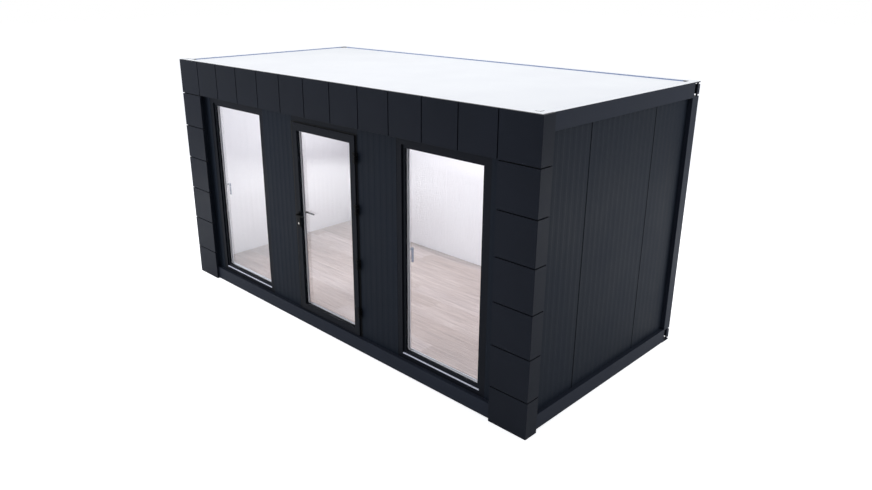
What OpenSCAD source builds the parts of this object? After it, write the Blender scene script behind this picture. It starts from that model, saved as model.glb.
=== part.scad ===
/* [Steel frame] */
// Length of the steel frame along the front
frame_l = 5020; // [4200:10:6000]
// Depth of the steel frame from front to back
frame_d = 2400; // [2200:10:3000]
// Height from the ground to the top of the roof edge
frame_h = 2600; // [2500:10:2900]
// Height of the bottom rail's outer face above the ground
base_rail_h = 145; // [142:1:170]
// Gap between the ground and the underside of the bottom rails
rail_ground_gap = 4; // [2:1:15]
// Height of the roof rail's outer face
roof_rail_h = 176; // [165:1:220]
// Width of a rail from its outer face to its inner edge
rail_w = 100; // [96:1:120]
// Thickness of the steel in rails and posts
rail_t = 5; // [3:0.5:6]
// Width of each outer face of a corner post
post_w = 115; // [106:1:140]

/* [Corner castings] */
// Height of the slot in each open face of a casting
slot_h = 96; // [70:1:105]
// Width of the slot in each open face of a casting
slot_w = 60; // [40:1:60]
// Width of the upright bar left at a casting's corner
corner_bar_w = 42; // [30:1:45]
// Thickness of a casting's plate below its lower slot and above its upper one
casting_plate_t = 27; // [15:1:35]
// Thickness of a casting's walls
casting_t = 14; // [10:1:16]

/* [Walls] */
// Depth of the wall's outer face behind the face of the frame
wall_recess = 40; // [30:1:50]
// Thickness of a sandwich wall panel
wall_t = 60; // [45:1:60]
// Cover width of a sandwich wall panel
panel_w = 1000; // [800:10:1200]
// Width of the open joint between two panels
panel_joint_w = 4; // [2:1:8]
// Step from the rail's outer lip down to the shelf that carries the walls
sill_step = 15; // [10:1:20]

/* [Floor and roof] */
// Level of the finished floor above the ground
floor_level = 140; // [138:1:160]
// Thickness of the floor boards
floor_t = 22; // [18:1:30]
// Number of floor joists
joist_count = 8; // [6:1:10]
// Width of a floor joist's flange
joist_w = 50; // [40:1:70]
// Thickness of the ceiling board
ceiling_t = 12; // [9:1:18]
// Depth of the roof's sunk middle below its edge
roof_sink = 9; // [6:1:20]
// Width of the raised edge around the roof
roof_rim_w = 70; // [60:1:92]
// Thickness of the roof's and underfloor's sheet
sheet_t = 2; // [1.5:0.5:3]
// Length of each leg of a corner drain in the sunk roof
drain_l = 55; // [40:1:80]
// Width of a corner drain's legs
drain_w = 14; // [10:1:20]

/* [Cladding] */
// Depth of a cladding cassette in front of the frame
clad_t = 25; // [20:1:35]
// Number of cassettes along the front
clad_count = 13; // [11:1:15]
// Height of a row of cassettes, joint to joint
clad_row_h = 377.5; // [340:0.5:410]
// Width of the open joint between two cassettes
clad_joint_w = 10; // [6:1:16]
// Length of the corner cassettes' returns along the ends
clad_return = 145; // [125:1:180]
// Thickness of the cassettes' folded sheet
clad_sheet_t = 3; // [2:0.5:4]
// Radius of the cassettes' folds at the building's corners
clad_fold_r = 4; // [3.5:0.5:8]
// Gap between the ground and the foot of the cladding
clad_ground_gap = 1; // [1:1:15]

/* [Windows] */
// Distance from the frame's end to the window's outer edge
window_inset = 463; // [455:1:500]
// Distance from the roof's edge down to the top of the windows and the door frame
head_drop = 380; // [300:1:450]
// Width of the window frame's face
window_frame_w = 60; // [50:1:75]
// Width of the sash that shows inside the frame
sash_w = 30; // [20:1:50]
// Height of the sash's bottom rail that shows inside the frame
sash_foot_h = 37; // [20:1:60]
// Step from the frame's face back to the sash's face
sash_step = 15; // [8:1:20]
// Step from the frame's face back to the glass
glass_step = 35; // [30:1:38]
// Thickness of a glazing unit
glass_t = 24; // [18:1:24]

/* [Door] */
// Width of the door leaf's outer face
leaf_w = 944; // [850:1:980]
// Width of the wall between the door frame and a window
door_pier_w = 503; // [300:1:700]
// Depth of the whole door leaf
leaf_d = 60; // [59:1:63]
// Gap between the rail's top and the foot of the leaf
leaf_ground_gap = 7; // [6:1:12]
// Distance that the leaf's face stands out from the wall
leaf_proud = 20; // [16:1:22]
// Thickness of the leaf's outer flange that laps over its frame
leaf_flange_t = 15; // [10:1:15]
// Width that the leaf's flange reaches past its body
leaf_flange_w = 18; // [16:1:22]
// Running gap between the leaf's body and the door frame
leaf_gap = 9; // [8:1:12]
// Face width of the leaf's stiles
stile_w = 70; // [62:1:90]
// Face height of the leaf's bottom rail
leaf_foot_h = 70; // [62:1:110]
// Face height of the leaf's top rail
leaf_head_h = 78; // [62:1:110]
// Face width of the door frame's jambs
door_frame_w = 36; // [30:1:50]
// Face height of the door frame's head
door_head_h = 79; // [40:1:100]
// Width of the stop behind the leaf
door_stop_w = 14; // [12:1:14]
// Height of the threshold's upstand above the floor
threshold_h = 24; // [20:1:30]

/* [Hinges and handles] */
// Length of a hinge
hinge_l = 100; // [80:1:120]
// Diameter of a hinge's knuckles
hinge_d = 20; // [16:1:22]
// Diameter of a hinge pin
hinge_pin_d = 9; // [6:1:10]
// Running gap around a hinge pin
pin_gap = 0.3; // [0.2:0.1:0.5]
// Distance from the leaf's foot up to the lowest hinge's middle
low_hinge_up = 254; // [150:1:350]
// Distance from the leaf's foot up to the second hinge's middle
second_hinge_up = 759; // [600:1:900]
// Distance from the leaf's top down to the third hinge's middle
third_hinge_down = 699; // [550:1:850]
// Distance from the leaf's top down to the highest hinge's middle
top_hinge_down = 204; // [150:1:350]
// Height of the lever's spindle above the ground
lever_z = 1210; // [1000:1:1250]
// Distance from the leaf's edge to the spindle
lever_backset = 44; // [40:1:46]
// Length of a lever from spindle to tip
lever_l = 125; // [100:1:140]
// Distance from the back plate to the middle of the lever
lever_standoff = 26; // [22:1:26]
// Thickness of a lever's round grip
lever_grip_d = 16; // [12:1:17]
// Width of a handle's back plate
plate_w = 42; // [34:1:46]
// Width of the back plate inside the room
inner_plate_w = 30; // [27:1:30]
// Height of a handle's back plate
plate_h = 170; // [165:1:220]
// Thickness of a handle's back plate
plate_t = 9; // [6:1:12]
// Distance from the spindle down to the back plate's middle
plate_drop = 57; // [48:1:57]
// Distance from the spindle down to the lock cylinder
cylinder_drop = 97; // [90:1:100]
// Diameter of the lock cylinder
cylinder_d = 17; // [14:1:20]

/* [Hidden] */
$fn = 48;

// Length by which a cut runs past a face, or a joined form runs into its neighbour
over = 1;
// Clearance between pieces that are fitted into one another
fit_gap = 0.3;

// Outer faces of the frame, with the origin under the middle of the whole building
front_y = clad_t / 2 - frame_d / 2;
rear_y = front_y + frame_d;
end_x = frame_l / 2;
middle_y = (front_y + rear_y) / 2;

// Levels
shelf_z = base_rail_h - sill_step;
roof_rail_z = frame_h - roof_rail_h;
rail_top_z = frame_h - sheet_t;
sink_z = frame_h - roof_sink - sheet_t;
ceiling_z = roof_rail_z + rail_t;
core_z = ceiling_z + ceiling_t;
joist_top_z = floor_level - floor_t;
joist_z = rail_ground_gap + rail_t + sheet_t;

// Depths behind the face of the frame
wall_inner = wall_recess + wall_t;
room_l = frame_l - 2 * wall_inner;
board_gap = 5;
board_edge = rail_t + board_gap;
roof_lip = roof_rim_w - sheet_t;

// Castings
notch_h = 18;
notch_w = corner_bar_w / 2;
casting_hole_d = 50;
casting_hole_in = (corner_bar_w + post_w - casting_t) / 2;

// Panels' tongue and groove
tongue_t = wall_t / 3;
tongue_l = 12;
least_panel_w = 50;

// Corner drains
drain_slits = 5;
drain_slit_w = 3;
drain_wall_t = 3;
drain_lip_t = 2;

// Cladding
clad_l = frame_l + 2 * clad_t;
clad_pitch = clad_l / clad_count;
column_w = clad_pitch - clad_joint_w / 2;
fascia_z = frame_h - clad_row_h + clad_joint_w / 2;
least_row_h = 50;
row_count = ceil((frame_h - clad_ground_gap - least_row_h) / clad_row_h);
carrier_w = 50;
carrier_t = 3;
carrier_flange = 15;
carrier_edge = 18;

// Door, in the front wall's middle; the leaf's hinges are on the right
leaf_right = leaf_w / 2;
leaf_z = base_rail_h + leaf_ground_gap;
leaf_y = wall_recess - leaf_proud;
stop_gap = 5;
body_foot_gap = 2;
body_right = leaf_right - leaf_flange_w;
opening_right = body_right + leaf_gap;
door_right = opening_right + door_frame_w;
door_top = frame_h - head_drop;
opening_top = door_top - door_head_h;
body_top = opening_top - leaf_gap;
leaf_top = body_top + leaf_flange_w;
stop_right = opening_right - door_stop_w;
stop_y = leaf_y + leaf_d + stop_gap;
threshold_top = floor_level + threshold_h;
glass_right = leaf_right - stile_w;
leaf_glass_y = leaf_y + glass_step;

// Windows, between the walls beside the door and the walls at the ends
window_right = end_x - window_inset;
window_left = door_right + door_pier_w;
window_w = window_right - window_left;
window_x = (window_left + window_right) / 2;
window_z = shelf_z;
window_top = door_top;
window_glass_y = wall_recess + glass_step;
sash_lap = 18;
sash_inset = window_frame_w - sash_lap;
glass_inset = window_frame_w + sash_w;
glass_foot = window_frame_w + sash_foot_h;
sash_out = 8;
sash_d = wall_t + sash_out - glass_step;
handle_rose_w = 28;
handle_rose_h = 70;
handle_rose_t = 10;
handle_neck_d = 16;
handle_neck_l = 36;
handle_grip_l = 140;
handle_grip_w = 20;
handle_grip_t = 12;
handle_z = 1200;

// Hinges
knuckle_aside = 5;
knuckle_ahead = 2;
hinge_x = leaf_right + knuckle_aside + hinge_d / 2;
hinge_y = leaf_y - knuckle_ahead - hinge_d / 2;
hinge_zs = [
    leaf_z + low_hinge_up, leaf_z + second_hinge_up,
    leaf_top - third_hinge_down, leaf_top - top_hinge_down
];
middle_knuckle_l = 38;
knuckle_gap = 1;
knuckle_l = (hinge_l - middle_knuckle_l) / 2 - knuckle_gap;
wing_t = 5;
wing_l = 34;

// Lever
lever_x = lever_backset - leaf_right;
plate_z = lever_z - plate_drop;
spindle_d = 9;
spindle_gap = 0.8;
lever_neck_d = 18;
lever_chamfer = 1.5;
cylinder_out = 4;
key_slot = [2, 10, 8];

steel_grey = "DarkSlateGray";
panel_grey = "DimGray";
zinc = "Silver";
plastic_black = "Black";

// Places one side of the building: x runs along it, y goes in from the face of the frame
module on_side(side) {
    if (side == "front") translate([0, front_y, 0]) children();
    if (side == "rear") translate([0, rear_y, 0]) rotate(180) children();
    if (side == "left") translate([-end_x, middle_y, 0]) rotate(-90) children();
    if (side == "right") translate([end_x, middle_y, 0]) rotate(90) children();
}

// Places one corner: x and y both go in from the faces of the frame
module on_corner(corner) {
    if (corner == "front_left") translate([-end_x, front_y, 0]) children();
    if (corner == "front_right") translate([end_x, front_y, 0]) mirror([1, 0, 0]) children();
    if (corner == "rear_left") translate([-end_x, rear_y, 0]) mirror([0, 1, 0]) children();
    if (corner == "rear_right") translate([end_x, rear_y, 0]) rotate(180) children();
}

CORNERS = ["front_left", "front_right", "rear_left", "rear_right"];

// A section drawn in depth and height, run along a side between two distances from its middle
module run_along(from, to) {
    translate([from, 0, 0]) rotate([90, 0, 90]) linear_extrude(to - from) children();
}

// A box between two corners
module block(low, high) {
    translate(low) cube(high - low);
}

// Stepped hollow section: outer lip, shelf for the walls, inner web for the joists
module base_rail_section() {
    difference() {
        polygon([
            [0, rail_ground_gap], [rail_w, rail_ground_gap], [rail_w, shelf_z],
            [wall_recess, shelf_z], [wall_recess, base_rail_h], [0, base_rail_h]
        ]);
        polygon([
            [rail_t, rail_ground_gap + rail_t], [rail_w - rail_t, rail_ground_gap + rail_t],
            [rail_w - rail_t, shelf_z - rail_t], [wall_recess - rail_t, shelf_z - rail_t],
            [wall_recess - rail_t, base_rail_h - rail_t], [rail_t, base_rail_h - rail_t]
        ]);
    }
}

// Channel that opens inwards, with a lip under the roof's raised edge
module roof_rail_section() {
    polygon([
        [0, roof_rail_z], [rail_w, roof_rail_z], [rail_w, ceiling_z], [rail_t, ceiling_z],
        [rail_t, rail_top_z - rail_t], [roof_lip - rail_t, rail_top_z - rail_t],
        [roof_lip - rail_t, sink_z + fit_gap], [roof_lip, sink_z + fit_gap],
        [roof_lip, rail_top_z], [0, rail_top_z]
    ]);
}

module base_rail(side, length) {
    half = length / 2 - post_w;
    color(steel_grey) on_side(side) run_along(-half, half) base_rail_section();
}

module roof_rail(side, length) {
    half = length / 2 - post_w;
    color(steel_grey) on_side(side) run_along(-half, half) roof_rail_section();
}

// Slots in the two open faces of a casting, and the notches cut in its corner bar
module casting_slots(slot_z) {
    reach = corner_bar_w + slot_w;
    slot_top = slot_z + slot_h;
    for (turn = [false, true])
        mirror(turn ? [1, -1, 0] : [0, 0, 0])
            block([corner_bar_w, -over, slot_z], [reach, casting_t + over, slot_top]);
    for (z = [slot_z, slot_top - notch_h])
        difference() {
            block([-over, -over, z], [corner_bar_w + over, corner_bar_w + over, z + notch_h]);
            block([notch_w, notch_w, z - over], [post_w, post_w, z + notch_h + over]);
        }
}

// Hollow inside a casting, out to a distance from the corner and around its solid corner bar
module casting_hollow(reach, z, top) {
    difference() {
        block([casting_t, casting_t, z], [reach, reach, top]);
        block([0, 0, z - over], [corner_bar_w, corner_bar_w, top + over]);
    }
}

// Bottom casting: hollow block with slots, a bottom hole and a shelf for the walls
module lower_casting() {
    difference() {
        cube([post_w, post_w, base_rail_h]);
        block([wall_recess, wall_recess, shelf_z], [post_w + over, post_w + over, base_rail_h + over]);
        casting_hollow(post_w - casting_t, casting_t, shelf_z - rail_t);
        casting_slots(casting_plate_t);
        translate([casting_hole_in, casting_hole_in, -over])
            cylinder(d = casting_hole_d, h = casting_t + 2 * over);
    }
}

// Top casting: hollow block with slots, cut back where the ceiling and the sunk roof run past it
module upper_casting() {
    slot_z = frame_h - casting_plate_t - slot_h;
    difference() {
        block([0, 0, roof_rail_z], [post_w, post_w, rail_top_z]);
        block([wall_inner, wall_inner, roof_rail_z - over], [post_w + over, post_w + over, frame_h]);
        block([roof_lip, roof_lip, sink_z], [post_w + over, post_w + over, frame_h]);
        casting_hollow(wall_inner - casting_t, roof_rail_z + casting_t, frame_h - casting_plate_t);
        casting_slots(slot_z);
    }
}

module lower_castings() {
    color(steel_grey) for (corner = CORNERS) on_corner(corner) lower_casting();
}

module upper_castings() {
    color(steel_grey) for (corner = CORNERS) on_corner(corner) upper_casting();
}

// Folded corner post: an L-shaped hollow section whose returns run back to the walls
module post_section() {
    inner = wall_recess - rail_t;
    difference() {
        polygon([
            [0, 0], [post_w, 0], [post_w, wall_recess], [wall_recess, wall_recess],
            [wall_recess, post_w], [0, post_w]
        ]);
        polygon([
            [rail_t, rail_t], [post_w - rail_t, rail_t], [post_w - rail_t, inner],
            [inner, inner], [inner, post_w - rail_t], [rail_t, post_w - rail_t]
        ]);
    }
}

module posts(corners) {
    color(steel_grey)
        for (corner = corners)
            on_corner(corner)
                translate([0, 0, base_rail_h])
                    linear_extrude(roof_rail_z - base_rail_h) post_section();
}

// Channel joists between the long rails
module floor_joists() {
    half_d = frame_d / 2 - rail_w;
    pitch = room_l / joist_count;
    height = joist_top_z - joist_z;
    color(zinc)
        for (i = [0 : joist_count - 1])
            translate([(i + 0.5) * pitch - room_l / 2 - joist_w / 2, middle_y, joist_z])
                rotate([90, 0, 0])
                    translate([0, 0, -half_d])
                        linear_extrude(2 * half_d)
                            difference() {
                                square([joist_w, height]);
                                translate([rail_t, rail_t])
                                    square([joist_w, height - 2 * rail_t]);
                            }
}

// A flat board over the plan, with its edge a distance in from the faces of the frame
module plan_board(edge, z, top) {
    block(
        [edge - end_x, front_y + edge, z],
        [end_x - edge, rear_y - edge, top]
    );
}

// Space that a board leaves for the four castings, up to a level
module lower_casting_space(top) {
    reach = post_w + fit_gap;
    for (corner = CORNERS) on_corner(corner) block([-over, -over, 0], [reach, reach, top]);
}

// Space that a board leaves for the four castings, less the room's corners, from a level upwards
module upper_casting_space(z) {
    reach = post_w + fit_gap;
    inner = wall_inner + fit_gap;
    for (corner = CORNERS)
        on_corner(corner)
            difference() {
                block([-over, -over, z - over], [reach, reach, frame_h]);
                block([inner, inner, z - 2 * over], [reach + over, reach + over, frame_h + over]);
            }
}

// Thin sheet that closes the floor from below, between the rails
module underfloor_sheet() {
    color(zinc)
        difference() {
            plan_board(rail_w, joist_z - sheet_t, joist_z);
            lower_casting_space(shelf_z);
        }
}

// Boards between the walls, rebated where they lie on the castings
module floor_boards() {
    color("Wheat")
        difference() {
            plan_board(wall_inner, joist_top_z, floor_level);
            lower_casting_space(shelf_z);
        }
}

module ceiling_board() {
    color("White")
        difference() {
            plan_board(board_edge, ceiling_z, core_z);
            upper_casting_space(ceiling_z);
        }
}

// Insulated roof deck under the sheet
module roof_core() {
    color("Ivory")
        difference() {
            plan_board(roof_rim_w, core_z, sink_z);
            upper_casting_space(core_z);
        }
}

// Folded sheet: flat raised edge, a step down all round, and the sunk middle
module roof_sheet() {
    color("White")
        difference() {
            union() {
                plan_board(0, rail_top_z, frame_h);
                plan_board(roof_lip, sink_z, frame_h);
            }
            plan_board(roof_rim_w, sink_z + sheet_t, frame_h + over);
        }
}

// Corner drain: an angled grate that stands in a corner of the sunk roof
module corner_drain() {
    height = roof_sink - over;
    pitch = (drain_l - drain_w) / (drain_slits + 1);
    translate([roof_rim_w, roof_rim_w, sink_z + sheet_t])
        difference() {
            cube([drain_l, drain_l, height]);
            block([drain_w, drain_w, -over], [drain_l + over, drain_l + over, height + over]);
            for (turn = [false, true], i = [1 : drain_slits])
                mirror(turn ? [1, -1, 0] : [0, 0, 0])
                    translate([drain_w + i * pitch - drain_slit_w / 2, drain_wall_t, drain_lip_t])
                        cube([drain_slit_w, drain_w, height - 2 * drain_lip_t]);
        }
}

module corner_drains() {
    color(plastic_black) for (corner = CORNERS) on_corner(corner) corner_drain();
}

// Plan of one sandwich panel between two lines, with its tongue on the left and groove on the right
module panel_plan(from, to, has_tongue, has_groove) {
    left = has_tongue ? from + panel_joint_w / 2 : from;
    right = has_groove ? to - panel_joint_w / 2 : to;
    mid = wall_recess + wall_t / 2;
    difference() {
        union() {
            translate([left, wall_recess]) square([right - left, wall_t]);
            if (has_tongue)
                translate([left - tongue_l, mid - tongue_t / 2])
                    square([tongue_l + over, tongue_t]);
        }
        if (has_groove)
            translate([right - tongue_l + panel_joint_w - fit_gap, mid - tongue_t / 2 - fit_gap])
                square([tongue_l + panel_joint_w, tongue_t + 2 * fit_gap]);
    }
}

// A wall of upright panels set out from the middle of its side
module panel_wall(length) {
    half = length / 2;
    steps = ceil(half / panel_w - 0.5);
    inner = [for (i = [-steps : steps - 1]) (i + 0.5) * panel_w];
    lines = concat([-half], [for (x = inner) if (abs(x) < half - least_panel_w) x], [half]);
    for (i = [0 : len(lines) - 2])
        translate([0, 0, shelf_z])
            linear_extrude(roof_rail_z - shelf_z)
                panel_plan(lines[i], lines[i + 1], i > 0, i < len(lines) - 2);
}

module wall_end(side) {
    color(panel_grey) on_side(side) panel_wall(frame_d - 2 * wall_recess);
}

module wall_rear() {
    color(panel_grey) on_side("rear") panel_wall(room_l);
}

// A plain piece of the front wall
module front_piece(from, to, z, top) {
    on_side("front") block([from, wall_recess, z], [to, wall_inner, top]);
}

module wall_front_ends() {
    color(panel_grey) {
        front_piece(window_right, room_l / 2, shelf_z, roof_rail_z);
        front_piece(-room_l / 2, -window_right, shelf_z, roof_rail_z);
    }
}

module wall_front_beside_door() {
    color(panel_grey) {
        front_piece(door_right, window_left, shelf_z, roof_rail_z);
        front_piece(-window_left, -door_right, shelf_z, roof_rail_z);
    }
}

module wall_front_over_door() {
    color(panel_grey) front_piece(-door_right, door_right, door_top, roof_rail_z);
}

module wall_front_over_windows() {
    color(panel_grey) {
        front_piece(window_left, window_right, window_top, roof_rail_z);
        front_piece(-window_right, -window_left, window_top, roof_rail_z);
    }
}

// Top-hat section that carries the cassettes in front of the walls
module carrier_section() {
    foot_right = carrier_w + carrier_flange;
    foot_y = wall_recess - carrier_t;
    difference() {
        polygon([
            [0, 0], [carrier_w, 0], [carrier_w, foot_y], [foot_right, foot_y],
            [foot_right, wall_recess], [-carrier_flange, wall_recess], [-carrier_flange, foot_y],
            [0, foot_y]
        ]);
        translate([carrier_t, carrier_t])
            square([carrier_w - 2 * carrier_t, wall_recess]);
    }
}

module cladding_carriers() {
    upright_x = clad_l / 2 - column_w + carrier_edge;
    fascia_half = upright_x - carrier_flange - over;
    color(zinc)
        on_side("front") {
            for (turn = [0, 1])
                mirror([turn, 0, 0])
                    translate([upright_x, 0, base_rail_h])
                        linear_extrude(roof_rail_z - base_rail_h) carrier_section();
            translate([0, 0, fascia_z + carrier_edge])
                run_along(-fascia_half, fascia_half)
                    mirror([1, -1, 0]) carrier_section();
        }
}

// Folded tray with its back open, between two corners of its front
module cassette(from, to, z, top) {
    t = clad_sheet_t;
    translate([0, -clad_t, 0])
        difference() {
            block([from, 0, z], [to, clad_t, top]);
            block([from + t, t, z + t], [to - t, clad_t + over, top - t]);
        }
}

module fascia_cassettes() {
    color(steel_grey)
        on_side("front")
            for (i = [1 : clad_count - 2])
                cassette(
                    i * clad_pitch - clad_l / 2 + clad_joint_w / 2,
                    (i + 1) * clad_pitch - clad_l / 2 - clad_joint_w / 2,
                    fascia_z, frame_h
                );
}

// Plan of a corner tray: front leg and end leg meeting in a rounded fold
module corner_plan(inset) {
    r = clad_fold_r - inset;
    difference() {
        union() {
            translate([clad_fold_r, inset]) square([column_w - inset - clad_fold_r, clad_t]);
            translate([inset, clad_fold_r]) square([clad_t, clad_return - inset - clad_fold_r]);
            translate([clad_fold_r, clad_fold_r]) circle(r);
        }
        translate([clad_t, clad_t]) square([column_w, clad_return]);
    }
}

module corner_cassette(z, top) {
    t = clad_sheet_t;
    difference() {
        translate([0, 0, z]) linear_extrude(top - z) corner_plan(0);
        translate([0, 0, z + t])
            linear_extrude(top - z - 2 * t) {
                corner_plan(t);
                translate([t, clad_t - over])
                    square([clad_t - t + over, clad_return - t - clad_t + over]);
                translate([clad_t - over, t])
                    square([column_w - t - clad_t + over, clad_t - t + over]);
            }
    }
}

// A column of corner trays from the ground to the roof
module corner_cassettes(corner) {
    color(steel_grey)
        on_corner(corner)
            translate([-clad_t, -clad_t, 0])
                for (i = [0 : row_count - 1]) {
                    top = frame_h - i * clad_row_h - (i > 0 ? clad_joint_w / 2 : 0);
                    low = frame_h - (i + 1) * clad_row_h + clad_joint_w / 2;
                    corner_cassette(i == row_count - 1 ? clad_ground_gap : low, top);
                }
}

// Square ring in a window, between an inset from its outer edge and an opening, and between two depths
module window_ring(inset, opening, foot, depth_from, depth_to) {
    half_w = window_w / 2;
    difference() {
        block(
            [inset - half_w, depth_from, window_z + inset],
            [half_w - inset, depth_to, window_top - inset]
        );
        block(
            [opening - half_w, depth_from - over, window_z + foot],
            [half_w - opening, depth_to + over, window_top - opening]
        );
    }
}

module on_windows() {
    for (x = [-window_x, window_x]) on_side("front") translate([x, 0, 0]) children();
}

module window_frames() {
    color(steel_grey)
        on_windows() {
            window_ring(0, window_frame_w, window_frame_w, wall_recess, window_glass_y);
            window_ring(0, sash_inset, sash_inset, window_glass_y - over, wall_inner);
        }
}

// Sash: an outer face inside the frame's opening, and a wider body that laps behind it
module window_sashes() {
    color(steel_grey)
        on_windows() {
            window_ring(
                window_frame_w, glass_inset, glass_foot,
                wall_recess + sash_step, window_glass_y + over
            );
            window_ring(
                sash_inset, glass_inset, glass_foot,
                window_glass_y, window_glass_y + sash_d
            );
        }
}

module window_glass() {
    color("LightBlue", 0.4)
        on_windows()
            block(
                [glass_inset - window_w / 2, window_glass_y, window_z + glass_foot],
                [window_w / 2 - glass_inset, window_glass_y + glass_t, window_top - glass_inset]
            );
}

// Turn handle on the sash's left stile, inside the room, hanging down
module window_handles() {
    x = window_frame_w + sash_w / 2 - window_w / 2;
    back = window_glass_y + sash_d;
    grip_y = back + handle_rose_t + handle_neck_l;
    color(steel_grey)
        on_windows()
            translate([x, 0, handle_z]) {
                translate([-handle_rose_w / 2, back, -handle_rose_h / 2])
                    cube([handle_rose_w, handle_rose_t, handle_rose_h]);
                translate([0, back + handle_rose_t, 0])
                    rotate([-90, 0, 0]) cylinder(d = handle_neck_d, h = handle_neck_l + over);
                translate([-handle_grip_w / 2, grip_y, handle_grip_w / 2 - handle_grip_l])
                    cube([handle_grip_w, handle_grip_t, handle_grip_l]);
            }
}

// Jamb in plan: a face part beside the leaf and a wider stop behind it
module jamb_plan() {
    polygon([
        [opening_right, wall_recess], [door_right, wall_recess], [door_right, wall_inner],
        [stop_right, wall_inner], [stop_right, stop_y], [opening_right, stop_y]
    ]);
}

module door_jamb(turn) {
    color(steel_grey)
        on_side("front")
            mirror([turn, 0, 0])
                translate([0, 0, shelf_z]) linear_extrude(opening_top - shelf_z) jamb_plan();
}

module door_head() {
    color(steel_grey)
        on_side("front") {
            block([-door_right, wall_recess, opening_top], [door_right, wall_inner, door_top]);
            block(
                [-stop_right, stop_y, opening_top - door_stop_w],
                [stop_right, wall_inner, opening_top + over]
            );
        }
}

// Threshold: level with the rail outside, with an upstand behind the leaf
module door_threshold() {
    color(zinc)
        on_side("front") {
            block([-opening_right, wall_recess, shelf_z], [opening_right, stop_y, base_rail_h]);
            block([-stop_right, stop_y - over, shelf_z], [stop_right, wall_inner, threshold_top]);
        }
}

// Knuckle around the pin's line, from z up by its length, with a hole for the pin or without
module knuckle(z, length, hole_d) {
    translate([hinge_x, hinge_y, z])
        difference() {
            cylinder(d = hinge_d, h = length);
            if (hole_d > 0) translate([0, 0, -over]) cylinder(d = hole_d, h = length + 2 * over);
        }
}

// Frame's half: middle knuckle with the pin, and an arm back to the door frame's face
module hinge_frame_halves() {
    arm_w = hinge_d / 2;
    color(plastic_black)
        on_side("front")
            for (z = hinge_zs) {
                low = z - middle_knuckle_l / 2;
                knuckle(low, middle_knuckle_l, 0);
                translate([hinge_x, hinge_y, z - hinge_l / 2])
                    cylinder(d = hinge_pin_d, h = hinge_l);
                block(
                    [hinge_x, hinge_y, low],
                    [hinge_x + arm_w, wall_recess, low + middle_knuckle_l]
                );
                block(
                    [hinge_x, wall_recess - wing_t, z - hinge_l / 2],
                    [door_right, wall_recess, z + hinge_l / 2]
                );
            }
}

// Leaf's half: two knuckles on a wing that lies on the leaf's face
module hinge_leaf_halves() {
    color(plastic_black)
        on_side("front")
            for (z = hinge_zs, low = [z - hinge_l / 2, z + hinge_l / 2 - knuckle_l]) {
                knuckle(low, knuckle_l, hinge_pin_d + 2 * pin_gap);
                difference() {
                    block(
                        [hinge_x - hinge_d / 2 - wing_l, leaf_y - wing_t, low],
                        [hinge_x, leaf_y, low + knuckle_l]
                    );
                    translate([hinge_x, hinge_y, low - over])
                        cylinder(d = hinge_d - over, h = knuckle_l + 2 * over);
                }
            }
}

// Leaf: a flange that laps the frame, a thicker body behind it, and the opening for the glass
module door_leaf() {
    color(steel_grey)
        on_side("front")
            difference() {
                union() {
                    block([-leaf_right, leaf_y, leaf_z], [leaf_right, leaf_y + leaf_flange_t, leaf_top]);
                    block(
                        [-body_right, leaf_y + leaf_flange_t - over, leaf_z + body_foot_gap],
                        [body_right, leaf_y + leaf_d, body_top]
                    );
                }
                block(
                    [-glass_right, leaf_y - over, leaf_z + leaf_foot_h],
                    [glass_right, leaf_y + leaf_d + over, leaf_top - leaf_head_h]
                );
                translate([lever_x, leaf_y - over, lever_z])
                    rotate([-90, 0, 0]) lock_holes(leaf_d + 2 * over);
            }
}

// Holes for the spindle and, below it, the lock cylinder, seen along them with y pointing down
module lock_holes(length) {
    cylinder(d = spindle_d + 2 * spindle_gap, h = length);
    translate([0, cylinder_drop, 0]) cylinder(d = cylinder_d + 2 * fit_gap, h = length);
}

module door_glass() {
    color("LightBlue", 0.4)
        on_side("front")
            block(
                [-glass_right, leaf_glass_y, leaf_z + leaf_foot_h],
                [glass_right, leaf_glass_y + glass_t, leaf_top - leaf_head_h]
            );
}

// Round-ended back plate with the holes for the spindle and the cylinder
module handle_plate(width) {
    rotate([-90, 0, 0])
        difference() {
            linear_extrude(plate_t) {
                square([width, plate_h - width], center = true);
                for (y = [-1, 1]) translate([0, y * (plate_h - width) / 2]) circle(d = width);
            }
            translate([0, -plate_drop, -over]) lock_holes(plate_t + 2 * over);
        }
}

module handle_plates() {
    color(plastic_black)
        on_side("front") {
            translate([lever_x, leaf_y - plate_t, plate_z]) handle_plate(plate_w);
            translate([lever_x, leaf_y + leaf_d, plate_z]) handle_plate(inner_plate_w);
        }
}

// Round lock cylinder through both plates, with a slot for the key
module lock_cylinder() {
    length = leaf_d + 2 * plate_t + 2 * cylinder_out;
    color(zinc)
        on_side("front")
            translate([lever_x, leaf_y - plate_t - cylinder_out, lever_z - cylinder_drop])
                difference() {
                    rotate([-90, 0, 0]) cylinder(d = cylinder_d, h = length);
                    cube(key_slot, center = true);
                }
}

// Round rod with a chamfer at its far end
module chamfered_rod(d, length) {
    straight = length - lever_chamfer;
    cylinder(d = d, h = straight);
    translate([0, 0, straight]) cylinder(d1 = d, d2 = d - 2 * lever_chamfer, h = lever_chamfer);
}

// Half of the lever handle: neck out of the plate and a round grip towards the hinges
module lever_half() {
    reach = lever_standoff + lever_grip_d / 2;
    rotate([-90, 0, 0])
        translate([0, 0, fit_gap]) chamfered_rod(lever_neck_d, reach - fit_gap + lever_chamfer);
    translate([0, lever_standoff, 0])
        rotate([0, 90, 0]) chamfered_rod(lever_grip_d, lever_l);
}

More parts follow.
